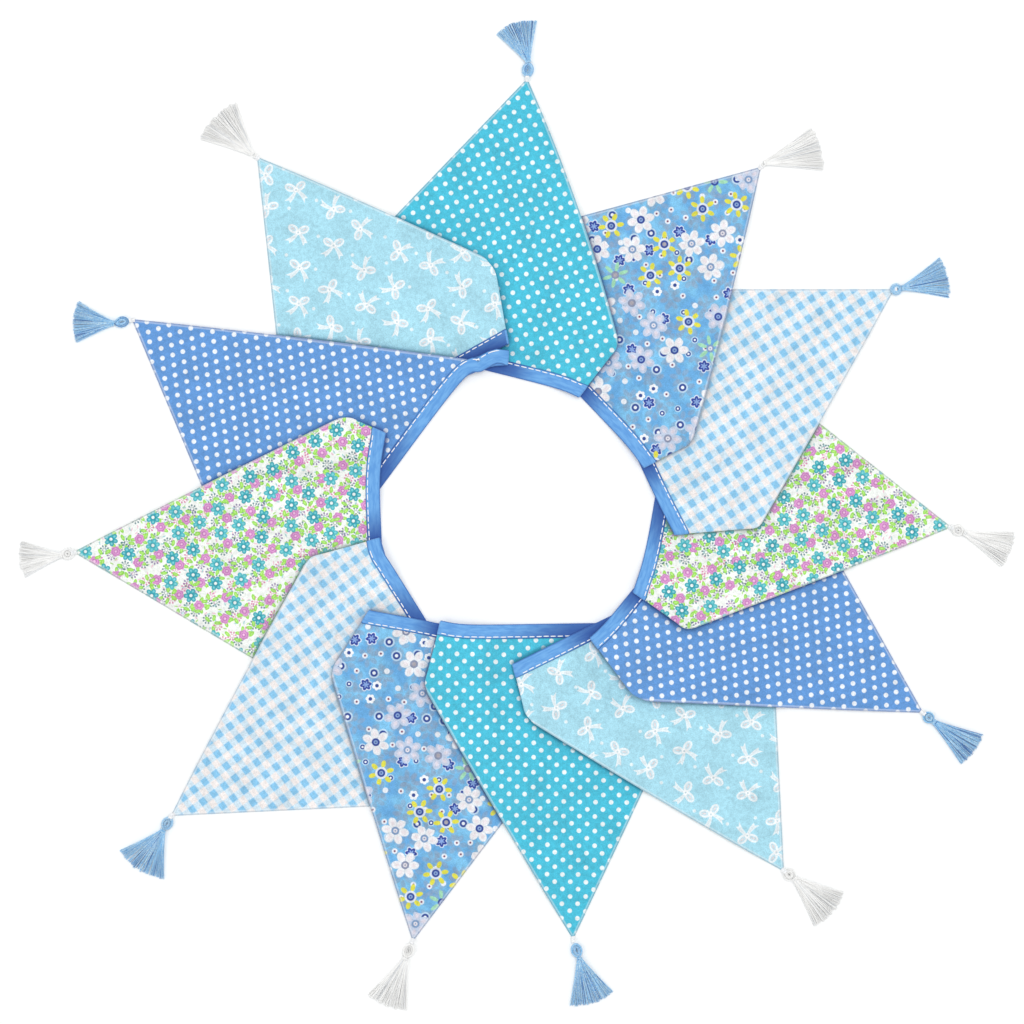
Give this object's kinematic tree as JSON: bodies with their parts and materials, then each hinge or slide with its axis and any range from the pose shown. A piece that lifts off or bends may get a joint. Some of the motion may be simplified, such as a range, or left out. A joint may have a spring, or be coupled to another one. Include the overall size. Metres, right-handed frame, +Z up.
{
  "type": "fabric bunting",
  "caption": "String of printed cotton pennants on a blue bias tape, a thread tassel at each tip, laid flat in an overlapping ring.",
  "frame": {"origin": "middle of the footprint, on the surface the bunting lies on", "axes": "+Z up from the surface, +Y towards the tip of the first turquoise dotted pennant"},
  "size_m": [0.6962, 0.6928, 0.0131],
  "materials": {
    "turquoise_dot_cotton": "matt printed cotton",
    "daisy_cotton": "matt printed cotton",
    "gingham_cotton": "matt printed cotton",
    "posy_cotton": "matt printed cotton",
    "blue_dot_cotton": "matt printed cotton",
    "bow_cotton": "matt printed cotton",
    "bias_tape": "matt cotton",
    "blue_thread": "silky thread",
    "white_thread": "silky thread"
  },
  "bodies": {
    "root": {"flag_01_turquoise_dot": "turquoise_dot_cotton", "tape_01_top": "bias_tape", "tape_01_under": "bias_tape", "tassel_01": "blue_thread", "flag_02_daisy": "daisy_cotton", "tape_02_top": "bias_tape", "tape_02_under": "bias_tape", "tassel_02": "white_thread", "flag_03_gingham": "gingham_cotton", "tape_03_top": "bias_tape", "tape_03_under": "bias_tape", "tassel_03": "blue_thread", "flag_04_posy": "posy_cotton", "tape_04_top": "bias_tape", "tape_04_under": "bias_tape", "tassel_04": "white_thread", "flag_05_blue_dot": "blue_dot_cotton", "tape_05_top": "bias_tape", "tape_05_under": "bias_tape", "tassel_05": "blue_thread", "flag_06_bow": "bow_cotton", "tape_06_top": "bias_tape", "tape_06_under": "bias_tape", "tassel_06": "white_thread", "flag_07_turquoise_dot": "turquoise_dot_cotton", "tape_07_top": "bias_tape", "tape_07_under": "bias_tape", "tassel_07": "blue_thread", "flag_08_daisy": "daisy_cotton", "tape_08_top": "bias_tape", "tape_08_under": "bias_tape", "tassel_08": "white_thread", "flag_09_gingham": "gingham_cotton", "tape_09_top": "bias_tape", "tape_09_under": "bias_tape", "tassel_09": "blue_thread", "flag_10_posy": "posy_cotton", "tape_10_top": "bias_tape", "tape_10_under": "bias_tape", "tassel_10": "white_thread", "flag_11_blue_dot": "blue_dot_cotton", "tape_11_top": "bias_tape", "tape_11_under": "bias_tape", "tassel_11": "blue_thread", "flag_12_bow": "bow_cotton", "tape_12_top": "bias_tape", "tape_12_under": "bias_tape", "tassel_12": "white_thread"}
  },
  "joints": []
}
